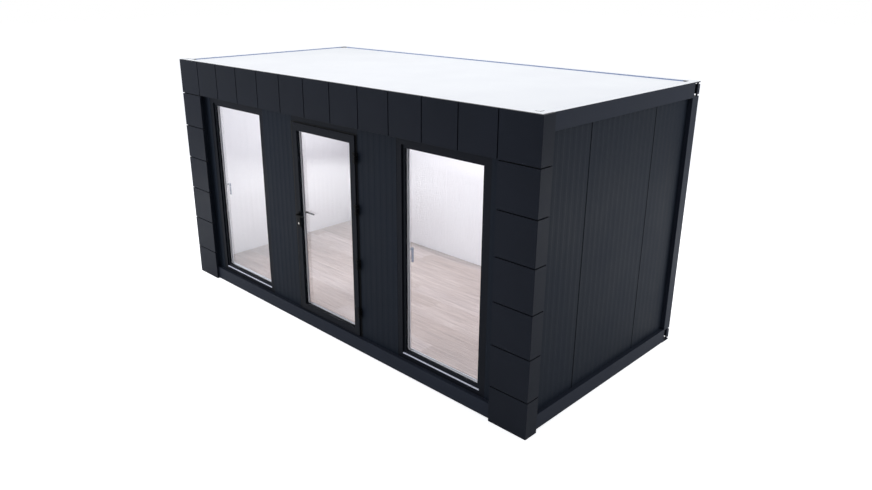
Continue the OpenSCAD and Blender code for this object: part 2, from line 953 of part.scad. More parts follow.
// Both levers on their common spindle
module lever_handle() {
    outside = leaf_y - plate_t;
    inside = leaf_y + leaf_d + plate_t;
    color(plastic_black)
        on_side("front")
            translate([lever_x, 0, lever_z]) {
                translate([0, outside, 0]) mirror([0, 1, 0]) lever_half();
                translate([0, inside, 0]) lever_half();
                translate([0, outside - over, 0])
                    rotate([-90, 0, 0]) cylinder(d = spindle_d, h = inside - outside + 2 * over);
            }
}

base_rail("front", frame_l);  // base_rail_front
base_rail("rear", frame_l);  // base_rail_rear
base_rail("left", frame_d);  // base_rail_left
base_rail("right", frame_d);  // base_rail_right
lower_castings();
upper_castings();
posts(["front_left", "front_right"]);  // posts_front
posts(["rear_left", "rear_right"]);  // posts_rear
roof_rail("front", frame_l);  // roof_rail_front
roof_rail("rear", frame_l);  // roof_rail_rear
roof_rail("left", frame_d);  // roof_rail_left
roof_rail("right", frame_d);  // roof_rail_right
floor_joists();
underfloor_sheet();
floor_boards();
ceiling_board();
roof_core();
roof_sheet();
corner_drains();
wall_end("left");  // wall_left
wall_end("right");  // wall_right
wall_rear();
wall_front_ends();
wall_front_beside_door();
wall_front_over_door();
wall_front_over_windows();
cladding_carriers();
fascia_cassettes();
corner_cassettes("front_left");  // corner_cassettes_left
corner_cassettes("front_right");  // corner_cassettes_right
window_frames();
window_sashes();
window_glass();
window_handles();
door_jamb(1);  // door_jamb_left
door_jamb(0);  // door_jamb_right
door_head();
door_threshold();
hinge_frame_halves();
door_leaf();
door_glass();
hinge_leaf_halves();
handle_plates();
lock_cylinder();
lever_handle();
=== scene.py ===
import logging
import math
from dataclasses import dataclass, field
from enum import Enum

import bpy
from bpy.types import Material, Modifier, NodeSocket, NodeTree, Object
from mathutils import Euler, Matrix, Vector


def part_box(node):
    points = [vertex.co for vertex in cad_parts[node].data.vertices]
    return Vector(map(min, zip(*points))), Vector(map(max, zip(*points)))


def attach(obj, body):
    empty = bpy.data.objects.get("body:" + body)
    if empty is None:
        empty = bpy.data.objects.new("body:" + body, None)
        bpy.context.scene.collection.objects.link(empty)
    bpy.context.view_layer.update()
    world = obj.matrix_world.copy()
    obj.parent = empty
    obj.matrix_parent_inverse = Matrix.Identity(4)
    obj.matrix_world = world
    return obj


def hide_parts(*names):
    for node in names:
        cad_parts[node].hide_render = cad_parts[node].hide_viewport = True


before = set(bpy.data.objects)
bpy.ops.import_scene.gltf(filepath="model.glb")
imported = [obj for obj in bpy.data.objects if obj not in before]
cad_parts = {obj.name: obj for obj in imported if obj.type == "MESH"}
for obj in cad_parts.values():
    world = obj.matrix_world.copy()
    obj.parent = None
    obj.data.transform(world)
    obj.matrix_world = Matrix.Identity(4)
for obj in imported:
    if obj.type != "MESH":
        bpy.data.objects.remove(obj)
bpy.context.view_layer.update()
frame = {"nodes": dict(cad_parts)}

log = logging.getLogger("office_container")

MM = 0.001
ROOT, DOOR = "root", "door"
# Height of the roof rails, as on the real frame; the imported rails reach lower
ROOF_RAIL_H = 140 * MM
# The floor's boards, and how far each row starts before the last one, as a share of a board
BOARD_L, BOARD_W, BOARD_SHIFT = 1.285, 0.193, 0.37
# Edges that turn by more than this are rounded
SHARP = math.radians(35)
# Faces that meet more flatly than this are one
FLAT = math.radians(1)
# Points nearer than this are one
MERGE = 0.02 * MM


def linear(hex_colour: str) -> tuple[float, float, float, float]:
    """Turns an sRGB hex colour into the linear colour that a shader takes.

    Args:
        hex_colour: Six hex digits, with or without a leading hash.

    Returns:
        Red, green, blue and an alpha of 1.
    """
    digits = hex_colour.lstrip("#")
    parts = [int(digits[i : i + 2], 16) / 255 for i in (0, 2, 4)]
    turned = [c / 12.92 if c <= 0.04045 else ((c + 0.055) / 1.055) ** 2.4 for c in parts]
    return (turned[0], turned[1], turned[2], 1.0)


def add_node(tree: NodeTree, kind: str, settings: dict | None = None, inputs: dict | None = None) -> bpy.types.Node:
    """Adds a shader node, sets it up and wires it.

    Args:
        tree: The material's or world's node tree.
        kind: Blender's name of the node.
        settings: The node's own properties by name.
        inputs: Values for its input sockets, or output sockets to link to them, by name or number.

    Returns:
        The new node.
    """
    node = tree.nodes.new(kind)
    for key, value in (settings or {}).items():
        setattr(node, key, value)
    for key, value in (inputs or {}).items():
        if isinstance(value, NodeSocket):
            tree.links.new(value, node.inputs[key])
        else:
            node.inputs[key].default_value = value
    return node


def fresh_tree(owner: Material | bpy.types.World) -> NodeTree:
    """The emptied node tree of a material or a world."""
    owner.use_nodes = True
    owner.node_tree.nodes.clear()
    return owner.node_tree


def maths(tree: NodeTree, operation: str, *values: NodeSocket | float) -> NodeSocket:
    """One step of arithmetic on sockets and numbers."""
    return add_node(tree, "ShaderNodeMath", {"operation": operation}, dict(enumerate(values))).outputs["Value"]


def stretched(tree: NodeTree, place: NodeSocket, scale: tuple[float, float, float]) -> NodeSocket:
    """Coordinates stretched for a pattern with a direction."""
    return add_node(tree, "ShaderNodeMapping", inputs={"Vector": place, "Scale": scale}).outputs["Vector"]


def noise(
    tree: NodeTree, place: NodeSocket, scale: float, detail: float, roughness: float = 0.5, distortion: float = 0.0
) -> NodeSocket:
    """A cloudy pattern from 0 to 1; the numbers are the noise node's own."""
    inputs = {"Vector": place, "Scale": scale, "Detail": detail, "Roughness": roughness, "Distortion": distortion}
    return add_node(tree, "ShaderNodeTexNoise", inputs=inputs).outputs["Fac"]


def spread(
    tree: NodeTree, pattern: NodeSocket, low: float, high: float, begin: float = 0.0, end: float = 1.0
) -> NodeSocket:
    """Maps a pattern from begin to end onto a range, such as one of roughness."""
    inputs = {"Value": pattern, "From Min": begin, "From Max": end, "To Min": low, "To Max": high}
    return add_node(tree, "ShaderNodeMapRange", inputs=inputs).outputs["Result"]


def bumps(tree: NodeTree, pattern: NodeSocket, strength: float, depth: float) -> NodeSocket:
    """Normals of a surface that a pattern raises by a depth in metres."""
    inputs = {"Strength": strength, "Distance": depth, "Height": pattern}
    return add_node(tree, "ShaderNodeBump", inputs=inputs).outputs["Normal"]


def surface(tree: NodeTree, colour: NodeSocket | tuple, roughness: NodeSocket | float, more: dict) -> NodeSocket:
    """A principled surface.

    Args:
        tree: The material's node tree.
        colour: Its base colour.
        roughness: Its roughness.
        more: Its other inputs by name.

    Returns:
        The shader socket.
    """
    inputs = {"Base Color": colour, "Roughness": roughness, **more}
    return add_node(tree, "ShaderNodeBsdfPrincipled", inputs=inputs).outputs["BSDF"]


def blended(tree: NodeTree, share: NodeSocket, first: NodeSocket, second: NodeSocket) -> NodeSocket:
    """Two shaders mixed by the share of the second."""
    return add_node(tree, "ShaderNodeMixShader", inputs={0: share, 1: first, 2: second}).outputs["Shader"]


def tone_ramp(tree: NodeTree, pattern: NodeSocket, *stops: tuple[float, str]) -> NodeSocket:
    """Maps a pattern onto a few colours.

    Args:
        tree: The material's node tree.
        pattern: The pattern, from 0 to 1.
        stops: Place and hex colour of each stop, in order.

    Returns:
        The colour socket.
    """
    ramp = add_node(tree, "ShaderNodeValToRGB", inputs={"Fac": pattern})
    elements = ramp.color_ramp.elements
    while len(elements) < len(stops):
        elements.new(0.5)
    for element, (place, colour) in zip(elements, stops):
        element.position = place
        element.color = linear(colour)
    return ramp.outputs["Color"]


@dataclass(frozen=True)
class Finish:
    """A surface finish, kept under the maker's name for it."""

    name: str
    slot: str

    def material(self) -> Material:
        """Makes the finish's material, or hands back the one made before."""
        known = bpy.data.materials.get(self.name)
        if known is not None:
            return known
        made = bpy.data.materials.new(self.name)
        tree = fresh_tree(made)
        add_node(tree, "ShaderNodeOutputMaterial", inputs={"Surface": self.shader(tree)})
        return made

    def shader(self, tree: NodeTree) -> NodeSocket:
        """Builds the finish's shader; each finish has its own."""
        raise NotImplementedError

    @staticmethod
    def place(tree: NodeTree) -> NodeSocket:
        """Object coordinates in metres."""
        return add_node(tree, "ShaderNodeTexCoord").outputs["Object"]


@dataclass(frozen=True)
class PowderCoat(Finish):
    """Baked powder or coil coat on steel: even colour, satin, with the soft waviness of its cure."""

    dark: str = "#171a1e"
    light: str = "#1b1e22"
    roughness: float = 0.5
    shine: float = 0.16
    # Blue tint on the coat's reflections: painted reflection of a blue sky, where the studio's reflected light is white
    painted_sky_tint: str = "#dbe6ff"
    ripple_mm: float = 9.0
    ripple_depth_mm: float = 0.02

    def shader(self, tree: NodeTree) -> NodeSocket:
        """Slow tone drift, patchy gloss and orange peel drawn coarse enough to show."""
        place = self.place(tree)
        drift = noise(tree, place, scale=1.7, detail=3.0, roughness=0.55)
        peel = noise(tree, place, scale=1.0 / (self.ripple_mm * MM), detail=1.0)
        more = {
            "Specular IOR Level": self.shine,
            "Specular Tint": linear(self.painted_sky_tint),
            "Normal": bumps(tree, peel, strength=0.25, depth=self.ripple_depth_mm * MM),
        }
        gloss = spread(tree, drift, self.roughness - 0.05, self.roughness + 0.05, begin=0.3, end=0.7)
        return surface(tree, tone_ramp(tree, drift, (0.3, self.dark), (0.7, self.light)), gloss, more)


@dataclass(frozen=True)
class Galvanised(Finish):
    """Hot-dip galvanised sheet: grey with zinc's spangles of a few millimetres."""

    spangle_mm: float = 14.0

    def shader(self, tree: NodeTree) -> NodeSocket:
        """Cells of slightly different greys, each with its own gloss."""
        inputs = {"Vector": self.place(tree), "Scale": 1.0 / (self.spangle_mm * MM)}
        cells = add_node(tree, "ShaderNodeTexVoronoi", inputs=inputs)
        grey = add_node(tree, "ShaderNodeSeparateColor", inputs={"Color": cells.outputs["Color"]})
        gloss = spread(tree, grey.outputs["Green"], low=0.38, high=0.56)
        colour = tone_ramp(tree, grey.outputs["Red"], (0.0, "#8d9295"), (1.0, "#b4b8ba"))
        return surface(tree, colour, gloss, {"Metallic": 0.85})


@dataclass(frozen=True)
class Laminate(Finish):
    """Pale oak laminate: printed grain along the boards, each board a little different, satin wear layer."""

    def shader(self, tree: NodeTree) -> NodeSocket:
        """A tone for each board, long streaks of grain, finer fibres and shallow pores."""
        place = self.place(tree)
        axes = add_node(tree, "ShaderNodeSeparateXYZ", inputs={"Vector": place}).outputs
        row = maths(tree, "FLOOR", maths(tree, "DIVIDE", axes["Y"], BOARD_W))
        shift = maths(tree, "MULTIPLY", row, BOARD_SHIFT)
        column = maths(tree, "FLOOR", maths(tree, "ADD", maths(tree, "DIVIDE", axes["X"], BOARD_L), shift))
        board = add_node(tree, "ShaderNodeCombineXYZ", inputs={"X": column, "Y": row, "Z": 0.0}).outputs["Vector"]
        tone = add_node(tree, "ShaderNodeTexWhiteNoise", {"noise_dimensions": "3D"}, {"Vector": board})
        inputs = {0: tone.outputs["Color"], 1: (7.0, 3.0, 5.0), 2: place}
        offset = add_node(tree, "ShaderNodeVectorMath", {"operation": "MULTIPLY_ADD"}, inputs).outputs["Vector"]
        # Streaks about 12 mm wide and 0.5 m long, and fibres of about 3 mm drawn coarser than the real print
        streaks = noise(tree, stretched(tree, offset, (2.0, 80.0, 1.0)), 1.0, 5.0, roughness=0.6, distortion=0.5)
        fibres = noise(tree, stretched(tree, offset, (9.0, 330.0, 1.0)), 1.0, 3.0)
        grain = maths(tree, "MULTIPLY_ADD", fibres, 0.35, streaks)
        wood = tone_ramp(tree, grain, (0.45, "#9e8e8b"), (0.66, "#c6b7b3"), (0.86, "#e1d5cf"))
        tint = tone_ramp(tree, tone.outputs["Value"], (0.0, "#e6dfda"), (1.0, "#ffffff"))
        settings = {"data_type": "RGBA", "blend_type": "MULTIPLY"}
        mixed = add_node(tree, "ShaderNodeMix", settings, {"Factor": 1.0, 6: wood, 7: tint})
        pores = bumps(tree, fibres, strength=0.3, depth=0.1 * MM)
        gloss = spread(tree, streaks, low=0.36, high=0.5)
        return surface(tree, mixed.outputs[2], gloss, {"Specular IOR Level": 0.4, "Normal": pores})


@dataclass(frozen=True)
class FloatGlass(Finish):
    """Low-iron float glass, almost without a tint, that lets lamps through to the room."""

    tint: str = "#fdfeff"

    def shader(self, tree: NodeTree) -> NodeSocket:
        """Clear glass for sight and gloss, and a film that passes light for shadows."""
        glass = surface(tree, linear(self.tint), 0.0, {"IOR": 1.5, "Transmission Weight": 1.0})
        film = add_node(tree, "ShaderNodeBsdfTransparent", inputs={"Color": linear(self.tint)}).outputs["BSDF"]
        return blended(tree, add_node(tree, "ShaderNodeLightPath").outputs["Is Shadow Ray"], glass, film)


@dataclass(frozen=True)
class Moulded(Finish):
    """Moulded plastic or rubber with the fine grain of its tool."""

    dark: str = "#0c0d0f"
    light: str = "#131518"
    roughness: float = 0.55
    grain_mm: float = 2.0
    shine: float = 0.25

    def shader(self, tree: NodeTree) -> NodeSocket:
        """Even colour with a grain that shows in the gloss."""
        grain = noise(tree, self.place(tree), scale=1.0 / (self.grain_mm * MM), detail=2.0)
        more = {"Specular IOR Level": self.shine, "Normal": bumps(tree, grain, strength=0.3, depth=0.05 * MM)}
        return surface(tree, tone_ramp(tree, grain, (0.35, self.dark), (0.65, self.light)), self.roughness, more)


@dataclass(frozen=True)
class DrawnMetal(Finish):
    """Drawn or brushed metal with fine lines along its length."""

    dark: str = "#8f9497"
    light: str = "#b3b7ba"
    roughness: float = 0.32
    lines: tuple[float, float, float] = (6.0, 400.0, 400.0)

    def shader(self, tree: NodeTree) -> NodeSocket:
        """Lines drawn about 2.5 mm apart, coarser than real so that they show."""
        lines = noise(tree, stretched(tree, self.place(tree), self.lines), scale=1.0, detail=2.0)
        gloss = spread(tree, lines, self.roughness - 0.08, self.roughness + 0.1)
        return surface(tree, tone_ramp(tree, lines, (0.3, self.dark), (0.7, self.light)), gloss, {"Metallic": 1.0})


@dataclass(frozen=True)
class Palette:
    """Every finish on the building."""

    frame: Finish = PowderCoat("anthracite_frame_paint", "frame_paint", "#1b1f27", "#1f232c", 0.5, shine=0.13)
    cladding: Finish = PowderCoat("anthracite_cassette_coat", "cladding_paint", "#13161c", "#161920", 0.42, shine=0.11)
    wall: Finish = PowderCoat(
        "anthracite_coil_coat", "wall_panel", "#12171e", "#161b23", 0.5, shine=0.1, ripple_mm=14.0
    )
    joinery: Finish = PowderCoat(
        "anthracite_joinery_foil", "joinery_paint", "#101216", "#13151a", 0.45, shine=0.1, ripple_mm=4.0
    )
    lining: Finish = PowderCoat(
        "white_coil_coat", "ceiling_white", "#e9e7ea", "#ecebee", 0.5, shine=0.3, ripple_mm=14.0, ripple_depth_mm=0.004
    )
    white_joinery: Finish = PowderCoat("white_joinery_pvc", "ceiling_white", "#eeeef4", "#f3f3f8", 0.35, ripple_mm=4.0)
    roof: Finish = PowderCoat("white_roof_coat", "roof_coating", "#f3f4f5", "#f8f9f9", 0.5, ripple_mm=20.0)
    core: Finish = Moulded("pir_foam", "insulation", "#cdbf94", "#dccfa6", 0.85, 6.0)
    zinc: Finish = Galvanised("galvanised_steel", "zinc_steel")
    floor: Finish = Laminate("pale_oak_laminate", "floor_laminate")
    board: Finish = Moulded("cement_bonded_board", "floor_laminate", "#8f8a80", "#a09b90", 0.85, 8.0)
    glass: Finish = FloatGlass("float_glass", "glazing")
    rubber: Finish = Moulded("epdm_rubber", "black_fittings", "#0a0a0b", "#101112", 0.6)
    # Near-black, nearly unreflecting strip in each open joint: painted shade that stands for the dark depth of the gap
    strip: Finish = Moulded("joint_gap_painted_shade", "black_fittings", "#020202", "#050505", 0.9, shine=0.02)
    fittings: Finish = Moulded("black_powder_coated_zinc", "black_fittings", "#060708", "#0a0b0d", 0.45, 3.0, shine=0.1)
    drain: Finish = Moulded("black_abs", "black_fittings", "#08090b", "#0e1012", 0.6)
    # Blue-grey darker than bare aluminium: painted shade of the handles behind the glass
    handle: Finish = DrawnMetal("handle_painted_shade_metal", "window_handle_plastic", "#56607a", "#66718c", 0.4)
    threshold: Finish = DrawnMetal("anodised_aluminium_sill", "zinc_steel", "#74787c", "#8b8f93", 0.36)
    lock: Finish = DrawnMetal("nickel_plated_brass", "lock_metal", "#dedad2", "#efece6", 0.22, (300.0, 300.0, 300.0))
    # Pale lilac strip on each window's dark ledge: painted highlight of the sky
    rail: Finish = PowderCoat("ledge_painted_highlight_coat", "zinc_steel", "#dcdff0", "#e8eaf6", 0.35, shine=0.4)
    # Blue-grey band on the roof rim's inner face and in the crease at its foot: painted shade
    roof_rim_shade: Finish = Moulded("blue_grey_painted_shade_band", "roof_coating", "#7f90b4", "#8c9dc0", 0.6, 8.0)


PALETTE = Palette()


def clear_selection() -> None:
    """Leaves edit mode and deselects everything."""
    if bpy.context.object is not None and bpy.context.object.mode != "OBJECT":
        bpy.ops.object.mode_set(mode="OBJECT")
    bpy.ops.object.select_all(action="DESELECT")


def take(piece: Object) -> None:
    """Makes one object the only one selected, and the active one."""
    clear_selection()
    piece.select_set(True)
    bpy.context.view_layer.objects.active = piece


def settle(piece: Object) -> Object:
    """Puts an object's place, turn and size into its mesh."""
    take(piece)
    bpy.ops.object.transform_apply(location=True, rotation=True, scale=True)
    return piece


def edit(piece: Object) -> None:
    """Opens an object in edit mode with all of its mesh selected."""
    take(piece)
    bpy.ops.object.mode_set(mode="EDIT")
    bpy.ops.mesh.select_mode(type="FACE")
    bpy.ops.mesh.select_all(action="SELECT")


def cut_across(place: Vector, normal: Vector, **options: bool) -> None:
    """Cuts all of the mesh in edit mode along a plane; the options are those of bisect."""
    bpy.ops.mesh.select_all(action="SELECT")
    bpy.ops.mesh.bisect(plane_co=place, plane_no=normal, **options)


def apply_modifiers(piece: Object) -> Object:
    """Applies every modifier of a piece, in order."""
    take(piece)
    for name in [m.name for m in piece.modifiers]:
        bpy.ops.object.modifier_apply(modifier=name)
    return piece


def bevelled(piece: Object, name: str, width: float, clamp: bool = True) -> Modifier:
    """Adds a bevel of two facets along a piece's sharp edges.

    Args:
        piece: The piece.
        name: The modifier's name.
        width: Width of the rounding in metres.
        clamp: Whether near edges make it narrower.

    Returns:
        The modifier.
    """
    bevel = piece.modifiers.new(name, "BEVEL")
    bevel.width = width
    bevel.segments = 2
    bevel.limit_method = "ANGLE"
    bevel.angle_limit = SHARP
    bevel.use_clamp_overlap = clamp
    return bevel


def rounded(piece: Object, width: float, clamp: bool = True) -> Object:
    """Rounds a piece's sharp edges in its mesh; the arguments are those of bevelled."""
    take(piece)
    bpy.ops.object.shade_smooth()
    bevelled(piece, "rounding", width, clamp)
    even = piece.modifiers.new("even_faces", "WEIGHTED_NORMAL")
    even.weight = 100
    return apply_modifiers(piece)


def outward(piece: Object) -> Object:
    """Turns every face of a piece outwards, and leaves edit mode."""
    edit(piece)
    bpy.ops.mesh.normals_make_consistent(inside=False)
    bpy.ops.object.mode_set(mode="OBJECT")
    return piece


def bar(name: str, low: Vector, high: Vector, width: float = 0.0) -> Object:
    """A straight bar between two corners, its edges rounded.

    Args:
        name: The piece's name.
        low: Lowest corner.
        high: Highest corner.
        width: Width of the rounding, or 0 for none.

    Returns:
        The bar.
    """
    clear_selection()
    low, high = Vector(low), Vector(high)
    bpy.ops.mesh.primitive_cube_add(size=1, location=(low + high) / 2)
    piece = bpy.context.object
    piece.name = name
    piece.scale = high - low
    settle(piece)
    return rounded(piece, width) if width else piece


def copied(piece: Object, name: str, move: Matrix) -> Object:
    """A copy of a piece with its own mesh, moved into place."""
    twin = piece.copy()
    twin.data = piece.data.copy()
    twin.name = name
    bpy.context.collection.objects.link(twin)
    twin.matrix_world = move
    return settle(twin)


def joined(name: str, parts: list[Object]) -> Object:
    """Joins pieces into one.

    Args:
        name: Name of the result.
        parts: The pieces, all at the origin.

    Returns:
        The joined piece.
    """
    clear_selection()
    for part in parts:
        part.select_set(True)
    bpy.context.view_layer.objects.active = parts[0]
    if len(parts) > 1:
        bpy.ops.object.join()
    parts[0].name = name
    parts[0].data.name = name
    return parts[0]


def dressed(piece: Object, finish: Finish, body: str = ROOT, *stands_for: str) -> Object:
    """Gives a new piece its finish, its body and the nodes that it stands for.

    Args:
        piece: The piece.
        finish: Its finish.
        body: The body that it moves with.
        stands_for: Nodes that it replaces.

    Returns:
        The piece.
    """
    piece.data.materials.clear()
    piece.data.materials.append(finish.material())
    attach(piece, body)
    if stands_for:
        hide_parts(*stands_for)
    log.info("%s: %d faces, %s", piece.name, len(piece.data.polygons), finish.name)
    return piece


def paint(finish: Finish, rounding: float, *nodes: str) -> None:
    """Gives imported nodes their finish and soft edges, without touching their meshes.

    Args:
        finish: Their finish.
        rounding: Width of their folded or rounded edges in metres, or 0 for none.
        nodes: The nodes' names.
    """
    for node in nodes:
        piece = frame["nodes"][node]
        piece.data.materials.clear()
        piece.data.materials.append(finish.material())
        if rounding:
            piece.modifiers.new("weld", "WELD").merge_threshold = MERGE
            bevelled(piece, "folded_edges", rounding).harden_normals = True
        log.info("%s: %s", node, finish.name)


def ring(name: str, low: Vector, high: Vector, width: float, rounding: float = 0.0) -> Object:
    """A mitred upright frame of even width, such as a bead or a seal.

    Args:
        name: The piece's name.
        low: Lowest corner of its outer box.
        high: Highest corner of its outer box.
        width: Width of the frame's face.
        rounding: Width of its rounded edges.

    Returns:
        The frame.
    """
    clear_selection()
    low, high = Vector(low), Vector(high)
    middle = (low + high) / 2
    bpy.ops.mesh.primitive_plane_add(size=1, location=(middle.x, low.y, middle.z), rotation=(math.pi / 2, 0, 0))
    piece = bpy.context.object
    piece.name = name
    piece.scale = (high.x - low.x, high.z - low.z, 1)
    edit(settle(piece))
    bpy.ops.mesh.inset(thickness=width, use_even_offset=True)
    bpy.ops.mesh.delete(type="FACE")
    bpy.ops.mesh.select_all(action="SELECT")
    bpy.ops.mesh.extrude_region_move(TRANSFORM_OT_translate={"value": (0, high.y - low.y, 0)})
    outward(piece)
    return rounded(piece, rounding) if rounding else piece


class Facing(Enum):
    """The way that a sheet on a wall faces, as a turn about the upright axis from facing the front."""

    FRONT = 0
    REAR = 180
    LEFT = -90
    RIGHT = 90

    def placed(self, plane: float) -> Matrix:
        """Turn and shift that bring a sheet made facing the front at the origin onto a wall plane."""
        turn = Matrix.Rotation(math.radians(self.value), 4, "Z")
        shift = Vector((0, plane, 0)) if self in (Facing.FRONT, Facing.REAR) else Vector((plane, 0, 0))
        return Matrix.Translation(shift) @ turn

    def local(self, start: float, end: float) -> tuple[float, float]:
        """A stretch along the wall in the sheet's own coordinates, lowest first."""
        sign = 1 if self in (Facing.FRONT, Facing.RIGHT) else -1
        return (min(sign * start, sign * end), max(sign * start, sign * end))


@dataclass
class RibbedSheet:
    """Coil-coated skin of a sandwich panel: shallow upright grooves, thirteen to a metre, folded back at its edges."""

    pitch: float = 1.0 / 13
    groove: float = 24 * MM
    slope: float = 5 * MM
    depth: float = 0.7 * MM
    stand_off: float = 1.6 * MM
    shortest: float = 30 * MM
    cells: dict[tuple[float, float], Object] = field(default_factory=dict)

    def cell(self, low: float, high: float) -> Object:
        """One pitch of the sheet, facing the front, modelled once for each height.

        Args:
            low: Level of its foot.
            high: Level of its top.

        Returns:
            The pitch-wide strip, with its groove in the middle.
        """
        key = (round(low, 4), round(high, 4))
        if key in self.cells:
            return self.cells[key]
        clear_selection()
        bpy.ops.mesh.primitive_plane_add(
            size=1, location=(0, -self.stand_off, (low + high) / 2), rotation=(math.pi / 2, 0, 0)
        )
        strip = bpy.context.object
        strip.scale = (self.pitch, high - low, 1)
        edit(settle(strip))
        half = self.groove / 2
        for x in (-half - self.slope, -half, half, half + self.slope):
            cut_across((x, 0, 0), (1, 0, 0))
        bpy.ops.object.mode_set(mode="OBJECT")
        for face in strip.data.polygons:
            face.select = abs(face.center.x) < half / 2
        bpy.ops.object.mode_set(mode="EDIT")
        bpy.ops.transform.translate(value=(0, self.depth, 0))
        bpy.ops.object.mode_set(mode="OBJECT")
        self.cells[key] = strip
        return strip

    def panel(self, start: float, end: float, low: float, high: float, origin: float = 0.0) -> Object:
        """A stretch of sheet facing the front, its grooves set out from a module line.

        Args:
            start: Where it starts, along the wall.
            end: Where it ends.
            low: Level of its foot.
            high: Level of its top.
            origin: A module line that the grooves are counted from.

        Returns:
            The sheet, folded back to the wall all round.
        """
        first = math.floor((start - origin) / self.pitch)
        begin = origin + (first + 0.5) * self.pitch
        sheet = copied(self.cell(low, high), "sheet", Matrix.Translation((begin, 0, 0)))
        repeat = sheet.modifiers.new("pitches", "ARRAY")
        repeat.use_relative_offset = False
        repeat.use_constant_offset = True
        repeat.constant_offset_displace = (self.pitch, 0, 0)
        repeat.count = math.ceil((end - origin) / self.pitch) - first
        repeat.use_merge_vertices = True
        repeat.merge_threshold = MERGE
        apply_modifiers(sheet)
        edit(sheet)
        cut_across((start, 0, 0), (1, 0, 0), clear_inner=True)
        cut_across((end, 0, 0), (1, 0, 0), clear_outer=True)
        bpy.ops.mesh.select_all(action="SELECT")
        bpy.ops.mesh.region_to_loop()
        bpy.ops.mesh.extrude_edges_move(TRANSFORM_OT_translate={"value": (0, self.stand_off, 0)})
        bpy.ops.object.mode_set(mode="OBJECT")
        return sheet

    def wall(
        self,
        name: str,
        facing: Facing,
        plane: float,
        stretches: list[tuple[float, float, float, float]],
        joints: list[float],
        gap: float,
        finish: Finish,
    ) -> Object:
        """A wall's skin: its stretches cut at the panel joints, as one piece.

        Args:
            name: The piece's name.
            facing: The way that it faces.
            plane: Place of the wall's face along the axis that it faces.
            stretches: Start, end, foot and top of each plain stretch, along the wall's world axis.
            joints: Places of the panel joints along the same axis.
            gap: Width of a joint.
            finish: Its finish.

        Returns:
            The skin.
        """
        panels = []
        for start, end, low, high in stretches:
            inside = [j for j in sorted(joints) if start + self.shortest < j < end - self.shortest]
            lines = [start, *inside, end]
            for i, (a, b) in enumerate(zip(lines, lines[1:])):
                a += gap / 2 if i > 0 else 0.0
                b -= gap / 2 if i < len(lines) - 2 else 0.0
                x0, x1 = facing.local(a, b)
                module = facing.local(joints[0], joints[0])[0] if joints else 0.0
                sheet = self.panel(x0, x1, low, high, module)
                sheet.matrix_world = facing.placed(plane)
                panels.append(settle(sheet))
        return dressed(joined(name, panels), finish)

    def tidy(self) -> None:
        """Removes the strips that the sheets were copied from."""
        for strip in self.cells.values():
            bpy.data.objects.remove(strip, do_unlink=True)
        self.cells.clear()


